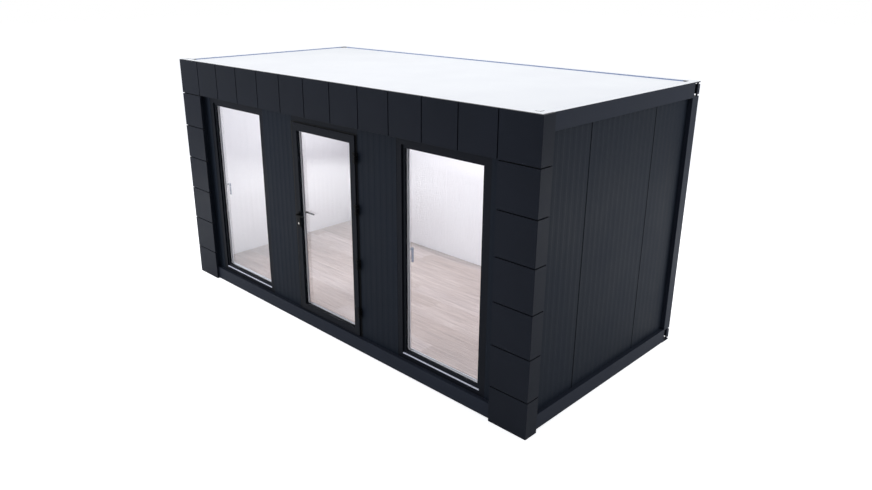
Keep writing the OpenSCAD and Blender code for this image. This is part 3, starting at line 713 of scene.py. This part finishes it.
@dataclass
class Castings:
    """Hollow corner castings: tall slots in both open faces, and a corner bar that stands on short necks.

    All sizes are in millimetres, and so is the first block, because cuts on whole numbers meet exactly.
    """

    size: float = 115
    wall: float = 14
    plate: float = 12
    slot_h: float = 121
    x_bar: float = 39
    y_bar: float = 42
    slot_end: float = 98
    notch: float = 16
    wall_face: float = 40
    wall_back: float = 100
    sunk: float = 68
    shelf_t: float = 5
    sheet: float = 2
    hole: float = 25
    hole_facets: int = 48
    past: float = 3
    edge: float = 0.8

    @staticmethod
    def levels(node: str) -> tuple[float, float]:
        """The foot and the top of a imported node, in millimetres."""
        return tuple(round(corner.z / MM, 1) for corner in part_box(node))

    @staticmethod
    def cut(piece: Object, cutter: Object) -> None:
        """Cuts one piece out of another, and removes it."""
        take(piece)
        cutting = piece.modifiers.new("cut", "BOOLEAN")
        cutting.operation = "DIFFERENCE"
        cutting.solver = "EXACT"
        cutting.object = cutter
        apply_modifiers(piece)
        bpy.data.objects.remove(cutter, do_unlink=True)

    def block(self, low: float, high: float, slot_z: float, holes: list[tuple[Vector, Vector]]) -> Object:
        """One casting with its corner at the origin.

        Args:
            low: Level of its foot.
            high: Level of its top.
            slot_z: Level of the foot of its slots.
            holes: Lowest and highest corners of its hollow and of what runs past it.

        Returns:
            The casting, with sharp edges.
        """
        piece = bar("casting", (0, 0, low), (self.size, self.size, high))
        top, deep, clear = slot_z + self.slot_h, self.wall + self.past, -self.past
        neck = self.y_bar - self.wall
        holes = holes + [
            ((clear, self.y_bar, slot_z), (deep, self.slot_end, top)),
            ((self.x_bar, clear, slot_z), (self.slot_end, deep, top)),
            ((clear, clear, slot_z), (self.x_bar + self.past, neck, slot_z + self.notch)),
            ((clear, clear, top - self.notch), (self.x_bar + self.past, neck, top)),
        ]
        for hole_low, hole_high in holes:
            self.cut(piece, bar("cutter", hole_low, hole_high))
        return piece

    def corners(self, name: str, piece: Object, node: str) -> None:
        """Rounds a casting and sets it on the four corners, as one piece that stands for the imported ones.

        Args:
            name: The piece's name.
            piece: The casting at the origin, in millimetres.
            node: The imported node.
        """
        low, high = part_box(node)
        edit(piece)
        bpy.ops.mesh.dissolve_limited(angle_limit=FLAT)
        rounded(piece, self.edge, clamp=False)
        blocks = []
        for x, turn_x in ((low.x, MM), (high.x, -MM)):
            for y, turn_y in ((low.y, MM), (high.y, -MM)):
                move = Matrix.Translation((x, y, 0)) @ Matrix.Diagonal((turn_x, turn_y, MM, 1))
                blocks.append(outward(copied(piece, "block", move)))
        bpy.data.objects.remove(piece, do_unlink=True)
        dressed(joined(name, blocks), PALETTE.frame, ROOT, node)

    def build(self) -> None:
        """Builds the four lower and the four upper castings."""
        far, face, back, wall = self.size + self.past, self.wall_face, self.wall_back, self.wall
        low, high = self.levels("lower_castings")
        shelf = self.levels("wall_right")[0]
        inner, floor = self.size - wall, low + self.plate
        hollow = [
            ((face, face, shelf), (far, far, high + self.past)),
            ((wall, wall, floor), (inner, inner, shelf - self.shelf_t)),
        ]
        piece = self.block(low, high, floor, hollow)
        bpy.ops.mesh.primitive_cylinder_add(
            vertices=self.hole_facets,
            radius=self.hole,
            depth=4 * self.plate,
            location=(self.size / 2, self.size / 2, low),
        )
        self.cut(piece, settle(bpy.context.object))
        self.corners("lower_casting_blocks", piece, "lower_castings")
        low, high = self.levels("upper_castings")
        roof_top = self.levels("roof_sheet")[1]
        sink = self.levels("corner_drains")[0] - self.sheet
        foot, inner = roof_top - ROOF_RAIL_H / MM, back - wall
        hollow = [
            ((face, face, low - self.past), (far, far, foot)),
            ((back, back, low - self.past), (far, far, roof_top)),
            ((self.sunk, self.sunk, sink), (far, far, roof_top)),
            ((wall, wall, foot + self.shelf_t), (inner, inner, sink - self.shelf_t)),
        ]
        piece = self.block(low, high, roof_top - self.plate - self.slot_h, hollow)
        self.corners("upper_casting_blocks", piece, "upper_castings")


@dataclass
class SteelFrame:
    """The painted frame of rails, posts and castings."""

    fold: float = 2.5 * MM
    sheet: float = 3 * MM
    edge: float = 1.35 * MM
    flange: float = 95 * MM

    def roof_rail(self, side: str, inward: Vector) -> None:
        """A folded roof rail, as high as the real one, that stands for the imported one.

        Args:
            side: The side of the building that it runs along.
            inward: Direction from its face towards the middle of the building.
        """
        low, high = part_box(f"roof_rail_{side}")
        start = Vector((high.x if inward.x < 0 else low.x, high.y if inward.y < 0 else low.y, 0))
        end = Vector((low.x if inward.x > 0 else high.x, high.y, 0))
        foot, top = high.z - ROOF_RAIL_H, high.z
        legs = []
        for depth, z_low, z_high in (
            (self.sheet, foot, top),
            (self.flange, foot, foot + self.sheet),
            (self.flange / 2, top - self.sheet, top),
        ):
            back = end + inward * depth
            (x_low, x_high), (y_low, y_high) = (sorted(pair) for pair in zip(start.xy, back.xy))
            legs.append(bar("leg", (x_low, y_low, z_low), (x_high, y_high, z_high), self.edge))
        dressed(joined(f"roof_rail_{side}_fold", legs), PALETTE.frame, ROOT, f"roof_rail_{side}")

    def build(self) -> None:
        """Builds the castings, and the roof rails of the two ends and the rear."""
        Castings().build()
        self.roof_rail("left", Vector((1, 0, 0)))
        self.roof_rail("right", Vector((-1, 0, 0)))
        self.roof_rail("rear", Vector((0, -1, 0)))

    def dress(self) -> None:
        """Paints the frame's nodes and rounds their folds."""
        rails = [f"base_rail_{side}" for side in ("front", "rear", "left", "right")]
        paint(PALETTE.frame, self.fold, *rails, "roof_rail_front", "posts_front", "posts_rear")


@dataclass
class Roof:
    """White roof sheet with its sunk middle, with painted shade along the fold below its raised edge, with core and
    corner drains.
    """

    fold: float = 0.8 * MM
    band_t: float = 1.5 * MM
    band_w: float = 14 * MM
    below_edge: float = 0.5 * MM
    bearing: float = 30 * MM
    panels: int = 5
    panel_edge: float = 1.0 * MM

    def build(self) -> None:
        """Builds a blue-grey band in the fold between the sunk roof and its raised edge: painted shade on the rim's
        inner face and in the crease at its foot.
        """
        low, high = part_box("roof_core")
        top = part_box("roof_sheet")[1].z - self.below_edge
        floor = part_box("corner_drains")[0].z
        legs = []
        for width, level in ((self.band_t, top), (self.band_w, floor + self.band_t)):
            for start, end in (
                ((low.x, low.y), (high.x, low.y + width)),
                ((low.x, high.y - width), (high.x, high.y)),
                ((low.x, low.y), (low.x + width, high.y)),
                ((high.x - width, low.y), (high.x, high.y)),
            ):
                legs.append(bar("band", (*start, floor), (*end, level)))
        # The band's blue-grey is painted shade of the rim's inner face
        dressed(joined("roof_rim_painted_shade", legs), PALETTE.roof_rim_shade)
        self.ceiling()

    def ceiling(self) -> None:
        """Builds the ceiling's panels over the room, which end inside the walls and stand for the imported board."""
        low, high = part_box("ceiling_board")
        left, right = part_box("wall_left")[1].x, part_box("wall_right")[0].x
        front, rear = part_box("wall_front_ends")[1].y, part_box("wall_rear")[0].y
        width = (right - left + 2 * self.bearing) / self.panels
        boards = []
        for i in range(self.panels):
            x = left - self.bearing + i * width
            end = (x + width, rear + self.bearing, high.z)
            boards.append(bar("board", (x, front - self.bearing, low.z), end, self.panel_edge))
        dressed(joined("ceiling_panels", boards), PALETTE.lining, ROOT, "ceiling_board")

    def dress(self) -> None:
        """Finishes the roof's nodes."""
        paint(PALETTE.roof, self.fold, "roof_sheet")
        paint(PALETTE.core, 0.0, "roof_core")
        paint(PALETTE.drain, 0.0, "corner_drains")


@dataclass
class Walls:
    """Sandwich walls: anthracite skins outside and white linings inside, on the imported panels."""

    joint: float = 10 * MM
    inner_joint: float = 0.6 * MM
    seal_out: float = 0.6 * MM
    seal_back: float = 0.1 * MM
    seal_edge: float = 0.2 * MM
    module: float = 1.0
    skin: RibbedSheet = field(default_factory=RibbedSheet)

    @staticmethod
    def front_stretches(half: float, low: float, high: float) -> list[tuple[float, float, float, float]]:
        """The front wall's plain stretches round its windows and door.

        Args:
            half: Half the length of the face.
            low: Level of its foot.
            high: Level of its top.

        Returns:
            Start, end, foot and top of each.
        """
        door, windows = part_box("door_head")[1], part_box("window_frames")[1]
        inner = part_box("wall_front_beside_door")[1].x
        sides = [(door.x, inner), (windows.x, half)]
        uprights = [(a, b, low, high) for a, b in sides + [(-b, -a) for a, b in sides]]
        over = [
            (-door.x, door.x, door.z, high),
            (inner, windows.x, windows.z, high),
            (-windows.x, -inner, windows.z, high),
        ]
        return uprights + over

    def build(self) -> None:
        """Builds the skins and linings, and the near-black strips in the joints that are painted shade of the open
        gaps.
        """
        (left_low, left_high), (right_low, right_high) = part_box("wall_left"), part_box("wall_right")
        (rear_low, rear_high), (front_low, front_high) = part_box("wall_rear"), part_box("wall_front_ends")
        frame_low, frame_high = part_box("lower_castings")
        post_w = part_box("base_rail_front")[0].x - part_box("posts_front")[0].x
        rail_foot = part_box("roof_rail_right")[1].z - ROOF_RAIL_H
        middle = (left_low.y + left_high.y) / 2
        end_joints = [middle + side * self.module / 2 for side in (-1, 1)]
        rear_joints = [side * self.module / 2 for side in (-3, -1, 1, 3)]
        half = frame_high.x - post_w
        foot, low, high = rear_low.z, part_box("floor_boards")[1].z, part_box("ceiling_board")[0].z
        end_skin = [(frame_low.y + post_w, frame_high.y - post_w, foot, rail_foot)]
        end_lining = [(front_high.y, rear_low.y, low, high)]
        rear_skin = [(-half, half, foot, rail_foot)]
        rear_lining = [(left_high.x, -left_high.x, low, high)]
        front_skin = self.front_stretches(half, foot, left_high.z)
        front_lining = self.front_stretches(-left_high.x, low, high)
        for side, facing, outer, skin, joints, back, inner, lining in (
            ("left", Facing.LEFT, left_low.x, end_skin, end_joints, Facing.RIGHT, left_high.x, end_lining),
            ("right", Facing.RIGHT, right_high.x, end_skin, end_joints, Facing.LEFT, right_low.x, end_lining),
            ("rear", Facing.REAR, rear_high.y, rear_skin, rear_joints, Facing.FRONT, rear_low.y, rear_lining),
            ("front", Facing.FRONT, front_low.y, front_skin, [], Facing.REAR, front_high.y, front_lining),
        ):
            self.skin.wall(f"{side}_wall_skin", facing, outer, skin, joints, self.joint, PALETTE.wall)
            self.skin.wall(f"{side}_wall_lining", back, inner, lining, joints, self.inner_joint, PALETTE.lining)
            if joints:
                self.shade_strips(f"{side}_wall_joint_shade", facing, outer, joints, foot, rail_foot)
        self.skin.tidy()

    def shade_strips(self, name: str, facing: Facing, plane: float, joints: list[float], low: float, high: float) -> None:
        """Builds the near-black strips that lie in the open joints of an outer skin, as painted shade of the gaps.

        Args:
            name: The piece's name.
            facing: The way that the wall faces.
            plane: Place of the wall's face along the axis that it faces.
            joints: Places of the joints along the wall.
            low: Level of their foot.
            high: Level of their top.
        """
        strips = []
        for joint in joints:
            x0, x1 = facing.local(joint - self.joint / 2, joint + self.joint / 2)
            strip = bar("strip", (x0, -self.seal_out, low), (x1, -self.seal_back, high), self.seal_edge)
            strip.matrix_world = facing.placed(plane)
            strips.append(settle(strip))
        # Near-black strips: painted shade in the open joints
        dressed(joined(name, strips), PALETTE.strip)

    def dress(self) -> None:
        """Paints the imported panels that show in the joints."""
        front = ("front_ends", "front_beside_door", "front_over_door", "front_over_windows")
        paint(PALETTE.wall, 0.0, *(f"wall_{part}" for part in ("left", "right", "rear", *front)))


@dataclass
class Floor:
    """Laminate boards on a fixed underlay, over zinc-coated joists and sheet."""

    board_t: float = 8 * MM
    gap: float = 0.4 * MM
    edge: float = 0.7 * MM
    underlay_edge: float = 0.5 * MM

    def build(self) -> None:
        """Lays the boards in staggered rows and cuts them at the walls."""
        low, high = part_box("floor_boards")
        end = (BOARD_L - self.gap, BOARD_W - self.gap, high.z)
        board = bar("board", (0, 0, high.z - self.board_t), end, self.edge)
        boards = []
        for row in range(math.floor(low.y / BOARD_W), math.ceil(high.y / BOARD_W)):
            shift = (row * BOARD_SHIFT) % 1.0
            start = math.floor(low.x / BOARD_L + shift)
            end = math.ceil(high.x / BOARD_L + shift)
            for column in range(start, end):
                place = ((column - shift) * BOARD_L, row * BOARD_W, 0)
                boards.append(copied(board, "board_copy", Matrix.Translation(place)))
        bpy.data.objects.remove(board, do_unlink=True)
        laid = joined("laminate_boards", boards)
        for corner, normal in (
            ((low.x, 0, 0), (-1, 0, 0)),
            ((high.x, 0, 0), (1, 0, 0)),
            ((0, low.y, 0), (0, -1, 0)),
            ((0, high.y, 0), (0, 1, 0)),
        ):
            edit(laid)
            cut_across(corner, normal, clear_outer=True, use_fill=True)
        bpy.ops.object.mode_set(mode="OBJECT")
        dressed(laid, PALETTE.floor)
        underlay = bar("floor_underlay", low, (high.x, high.y, high.z - self.board_t), self.underlay_edge)
        dressed(underlay, PALETTE.board, ROOT, "floor_boards")

    def dress(self) -> None:
        """Finishes the joists and the sheet under the floor."""
        paint(PALETTE.zinc, 0.0, "floor_joists", "underfloor_sheet")


@dataclass
class Cladding:
    """Folded cassettes over the front's top and corners, on carriers painted like the wall panels."""

    fold: float = 1.2 * MM
    count: int = 13
    row_h: float = 0.3775
    strip_w: float = 30 * MM
    strip_t: float = 1.5 * MM
    short: float = 3 * MM
    below_top: float = 4 * MM
    foot_row: float = 50 * MM

    def build(self) -> None:
        """Builds the black tapes behind the joints between the cassettes."""
        fascia_low, fascia_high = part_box("fascia_cassettes")
        left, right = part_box("corner_cassettes_left"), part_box("corner_cassettes_right")
        span = right[1].x - left[0].x
        front = fascia_high.y
        half = self.strip_w / 2
        tapes = []
        for i in range(1, self.count):
            x = left[0].x + i * span / self.count
            end = (x + half, front + self.strip_t, fascia_high.z - self.below_top)
            tapes.append(bar("tape", (x - half, front, fascia_low.z), end))
        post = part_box("posts_front")
        rows = math.ceil((left[1].z - self.foot_row) / self.row_h)
        for low, high, end, away in ((*left, post[0].x, -1), (*right, post[1].x, 1)):
            for row in range(1, rows):
                z = high.z - row * self.row_h
                start, stop = low.x + self.short, high.x - self.short
                tapes.append(bar("tape", (start, front - self.strip_t, z - half), (stop, front, z + half)))
                x0, x1 = sorted((end, end + away * self.strip_t))
                tapes.append(bar("tape", (x0, front, z - half), (x1, high.y - self.short, z + half)))
        dressed(joined("cassette_joint_tapes", tapes), PALETTE.rubber)

    def dress(self) -> None:
        """Finishes the cassettes and carriers."""
        cassettes = ("fascia_cassettes", "corner_cassettes_left", "corner_cassettes_right")
        paint(PALETTE.cladding, self.fold, *cassettes)
        paint(PALETTE.wall, 0.0, "cladding_carriers")


@dataclass
class Glazing:
    """A sealed unit of two panes with its spacer, outer seal and white inner bead."""

    pane: float = 4 * MM
    spacer: float = 1.6 * MM
    seal_w: float = 4 * MM
    seal_out: float = 2 * MM
    seal_edge: float = 0.8 * MM
    bead_w: float = 12 * MM
    bead_edge: float = 1.5 * MM

    def build(self, name: str, low: Vector, high: Vector, back: float, body: str, node: str) -> None:
        """Builds the unit in an opening.

        Args:
            name: Start of the pieces' names.
            low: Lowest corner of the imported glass.
            high: Its highest corner.
            back: Depth of the face that the inner bead ends at.
            body: The body that it moves with.
            node: The node that it stands for.
        """
        lap = self.spacer
        panes = [
            bar(f"{name}_pane", (low.x + lap, y, low.z + lap), (high.x - lap, y + self.pane, high.z - lap))
            for y in (low.y, high.y - self.pane)
        ]
        dressed(joined(f"{name}_panes", panes), PALETTE.glass, body, node)
        reveal = ring(f"{name}_spacer", (low.x, low.y + self.pane, low.z), (high.x, high.y, high.z), self.spacer)
        dressed(reveal, PALETTE.white_joinery, body)
        corners = (low.x, low.y - self.seal_out, low.z), (high.x, low.y, high.z)
        dressed(ring(f"{name}_seal", *corners, self.seal_w, self.seal_edge), PALETTE.rubber, body)
        bead = ring(f"{name}_bead", (low.x, high.y, low.z), (high.x, back, high.z), self.bead_w, self.bead_edge)
        dressed(bead, PALETTE.white_joinery, body)


@dataclass
class Window:
    """A full-height window: anthracite outside, white inside, with its handle."""

    side: str
    centre: float
    cover: float = 2 * MM
    cover_edge: float = 0.8 * MM
    rail_h: float = 5 * MM
    rail_past: float = 18 * MM
    set_back: float = 1 * MM
    glazing: Glazing = field(default_factory=Glazing)

    def build(self) -> None:
        """Builds the glazing, the white covers, and a pale strip on the frame's ledge below the sash that is a painted
        highlight.
        """
        frame_low, frame_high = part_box("window_frames")
        sash_low, sash_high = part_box("window_sashes")
        glass_low, glass_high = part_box("window_glass")
        half_frame, half_sash, half_glass = (v.x - abs(self.centre) for v in (frame_high, sash_high, glass_high))
        x, back = self.centre, sash_high.y
        low = Vector((x - half_glass, glass_low.y, glass_low.z))
        high = Vector((x + half_glass, glass_high.y, glass_high.z))
        name = f"{self.side}_window"
        self.glazing.build(name, low, high, back, ROOT, "window_glass")
        frame_w = half_frame - half_sash
        for part, half, face, low, high, width in (
            ("frame", half_frame, frame_high.y, frame_low, frame_high, frame_w - self.set_back),
            ("sash", half_sash, back, sash_low, sash_high, half_sash - half_glass),
        ):
            corners = (x - half, face, low.z), (x + half, face + self.cover, high.z)
            cover = ring(f"{name}_{part}_cover", *corners, width, self.cover_edge)
            dressed(cover, PALETTE.white_joinery)
        # Pale strip on the frame's ledge below the sash: painted highlight of the sky on the dark ledge
        foot, end = frame_low.z + frame_w + self.rail_past, half_sash + self.rail_past
        corners = (x - end, frame_low.y + self.set_back, foot), (x + end, sash_low.y, foot + self.rail_h)
        dressed(bar(f"{name}_ledge_highlight", *corners, self.cover_edge), PALETTE.rail)


@dataclass
class Windows:
    """Both windows."""

    edge: float = 1.5 * MM
    handle_edge: float = 2 * MM

    def build(self) -> None:
        """Builds each window's own pieces."""
        outer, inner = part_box("window_frames")[1].x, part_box("wall_front_beside_door")[1].x
        centre = (outer + inner) / 2
        for side, x in (("left", -centre), ("right", centre)):
            Window(side, x).build()

    def dress(self) -> None:
        """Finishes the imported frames, sashes and handles."""
        paint(PALETTE.joinery, self.edge, "window_frames", "window_sashes")
        paint(PALETTE.handle, self.handle_edge, "window_handles")


@dataclass
class Door:
    """The glazed leaf in its frame, with hinges, lock and lever."""

    edge: float = 1.5 * MM
    fitting_edge: float = 0.8 * MM
    plate_edge: float = 1.2 * MM
    seal_out: float = 9 * MM
    # Width of the black strip on the wall left of the frame: painted shadow of the leaf
    wall_shadow_w: float = 13 * MM
    seal_t: float = 2 * MM
    seal_lap: float = 8 * MM
    seal_edge: float = 0.5 * MM
    glazing: Glazing = field(default_factory=lambda: Glazing(bead_w=10 * MM))

    def build(self) -> None:
        """Builds the leaf's glazing, and black strips on the jamb round the leaf and on the wall beside its frame that
        are painted shadow of the leaf's proud edge.
        """
        leaf_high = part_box("door_leaf")[1]
        glass_low, glass_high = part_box("door_glass")
        self.glazing.build("door", glass_low, glass_high, leaf_high.y, DOOR, "door_glass")
        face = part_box("door_head")[0].y
        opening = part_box("door_threshold")[1].x
        frame_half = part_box("door_head")[1].x
        side, top = leaf_high.x + self.seal_out, leaf_high.z + self.seal_out
        near = face - self.seal_t
        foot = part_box("base_rail_front")[1].z
        # Black strips round the leaf and on the wall left of the frame: painted shadow of the leaf's proud edge
        shade_strips = [
            bar("seal", (start, near, low), (end, face, top), self.seal_edge)
            for start, end, low in (
                (-side, -opening, foot),
                (opening, side, foot),
                (-opening, opening, leaf_high.z - self.seal_lap),
                (-frame_half - self.wall_shadow_w, -frame_half, foot),
            )
        ]
        dressed(joined("door_leaf_painted_shadow", shade_strips), PALETTE.rubber)

    def dress(self) -> None:
        """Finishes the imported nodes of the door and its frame."""
        paint(PALETTE.joinery, self.edge, "door_leaf", "door_jamb_left", "door_jamb_right", "door_head")
        paint(PALETTE.threshold, self.edge, "door_threshold")
        paint(PALETTE.fittings, self.fitting_edge, "hinge_frame_halves", "hinge_leaf_halves", "lever_handle")
        paint(PALETTE.fittings, self.plate_edge, "handle_plates")
        paint(PALETTE.lock, 0.0, "lock_cylinder")


@dataclass
class Studio:
    """Plain pale floor, plain soft light and the camera at the photograph's angle."""

    camera_at: tuple[float, float, float] = (5.405, -5.2785, 3.476)
    camera_turn: tuple[float, float, float] = (70.54, 0.0, 45.01)
    lens: float = 29.97
    sensor: float = 36.0
    shift: tuple[float, float] = (0.0197, -0.01226)
    sky: float = 0.6
    floor_glow: float = 0.55
    floor_size: float = 120.0
    floor_level: float = -0.5 * MM

    def camera(self) -> None:
        """Sets up the camera solved from the photograph's straight edges."""
        data = bpy.data.cameras.new("camera")
        data.lens = self.lens
        data.sensor_width = self.sensor
        data.shift_x, data.shift_y = self.shift
        eye = bpy.data.objects.new("camera", data)
        eye.location = self.camera_at
        eye.rotation_euler = Euler([math.radians(a) for a in self.camera_turn])
        bpy.context.collection.objects.link(eye)
        bpy.context.scene.camera = eye

    def backdrop(self) -> None:
        """Lights the object evenly and shows white behind it."""
        world = bpy.data.worlds.new("studio")
        bpy.context.scene.world = world
        tree = fresh_tree(world)
        soft = add_node(tree, "ShaderNodeBackground", inputs={"Color": linear("#ecf0fa"), "Strength": self.sky})
        white = add_node(tree, "ShaderNodeBackground", inputs={"Color": (1, 1, 1, 1), "Strength": 1.0})
        rays = add_node(tree, "ShaderNodeLightPath").outputs
        seen = maths(tree, "MAXIMUM", rays["Is Camera Ray"], rays["Is Transmission Ray"])
        seen = maths(tree, "MAXIMUM", seen, rays["Is Glossy Ray"])
        mixed = blended(tree, seen, soft.outputs["Background"], white.outputs["Background"])
        add_node(tree, "ShaderNodeOutputWorld", inputs={"Surface": mixed})

    def ground(self) -> None:
        """A wide pale floor that takes the object's shadow."""
        clear_selection()
        bpy.ops.mesh.primitive_plane_add(size=self.floor_size, location=(0, 0, self.floor_level))
        floor = bpy.context.object
        floor.name = "studio_floor"
        made = bpy.data.materials.new("studio_floor_paint")
        tree = fresh_tree(made)
        matt = add_node(tree, "ShaderNodeBsdfDiffuse", inputs={"Color": linear("#f7f7f7")}).outputs["BSDF"]
        glow = add_node(tree, "ShaderNodeEmission", inputs={"Color": (1, 1, 1, 1), "Strength": self.floor_glow})
        both = add_node(tree, "ShaderNodeAddShader", inputs={0: matt, 1: glow.outputs["Emission"]})
        rays = add_node(tree, "ShaderNodeLightPath").outputs
        mixed = blended(tree, rays["Is Camera Ray"], matt, both.outputs["Shader"])
        add_node(tree, "ShaderNodeOutputMaterial", inputs={"Surface": mixed})
        floor.data.materials.append(made)

    def lamp(self, name: str, place: Vector, aim: Vector, size: float, watts: float, size_y: float = 0.0) -> None:
        """A soft panel of light.

        Args:
            name: The lamp's name.
            place: Where it stands.
            aim: What it points at.
            size: Its width in metres.
            watts: Its power.
            size_y: Its height, or 0 for a square.
        """
        data = bpy.data.lights.new(name, "AREA")
        data.shape = "RECTANGLE"
        data.size = size
        data.size_y = size_y or size
        data.energy = watts
        lamp = bpy.data.objects.new(name, data)
        lamp.location = place
        lamp.rotation_euler = (Vector(aim) - Vector(place)).to_track_quat("-Z", "Y").to_euler()
        lamp.visible_camera = False
        lamp.visible_glossy = False
        lamp.visible_transmission = False
        bpy.context.collection.objects.link(lamp)

    def build(self) -> None:
        """Sets up the whole studio."""
        bpy.context.scene.view_settings.view_transform = "Standard"
        self.camera()
        self.backdrop()
        self.ground()
        self.lamp("key", (-5.5, -6.0, 3.2), (-1.0, -1.2, 1.8), 3.0, 340.0)
        self.lamp("side", (6.8, 5.8, 3.0), (2.5, 0.6, 1.3), 3.0, 380.0)
        self.lamp("top", (0.0, 0.0, 8.0), (0, 0, 0), 7.0, 185.0)
        self.lamp("room_fill", (0.0, 0.0, 2.41), (0, 0, 0), 4.2, 35.0, 1.7)
        self.lamp("room_bounce", (0.0, 0.0, 1.2), (0, 0, 3.0), 4.2, 23.0, 1.7)


def main() -> None:
    """Builds and dresses the building, part by part."""
    logging.basicConfig(level=logging.INFO, format="%(message)s")
    parts = (SteelFrame(), Roof(), Walls(), Floor(), Cladding(), Windows(), Door())
    for part in parts:
        part.build()
    for part in parts:
        part.dress()
    Studio().build()


if __name__ == "__main__":
    main()
